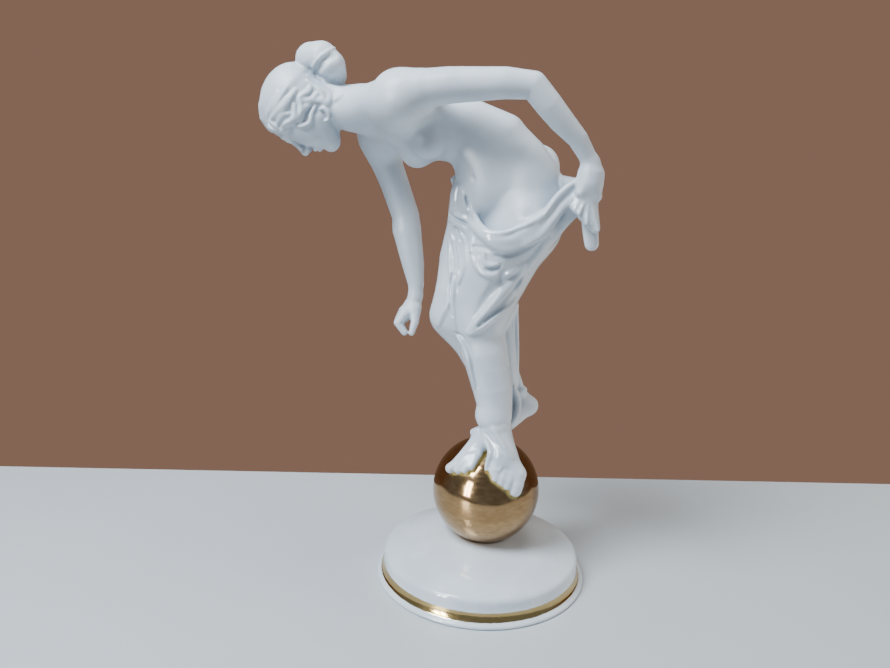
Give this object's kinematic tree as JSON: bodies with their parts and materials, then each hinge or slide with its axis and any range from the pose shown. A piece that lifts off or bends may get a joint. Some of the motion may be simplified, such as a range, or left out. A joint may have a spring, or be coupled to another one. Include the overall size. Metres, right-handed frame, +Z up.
{
  "type": "figurine",
  "caption": "Glazed white figurine of a bowing, half-draped goddess who balances on a gilded ball, on a round domed base with a gilt rim.",
  "frame": {"origin": "the centre of the base's underside, on the surface it stands on", "axes": "+Z points up through the ball, +X to the right of the front view, towards the hand that holds the cloth, and +Y away from the viewer"},
  "size_m": [0.1898, 0.123, 0.299],
  "materials": {
    "porcelain": "clear high-gloss glaze over white porcelain",
    "gilt": "polished bright gold fired on the glaze",
    "base_porcelain": "clear gloss glaze with a fired gold band around the foot"
  },
  "bodies": {
    "root": {"figure": "porcelain", "ball": "gilt", "base": "base_porcelain"}
  },
  "joints": []
}
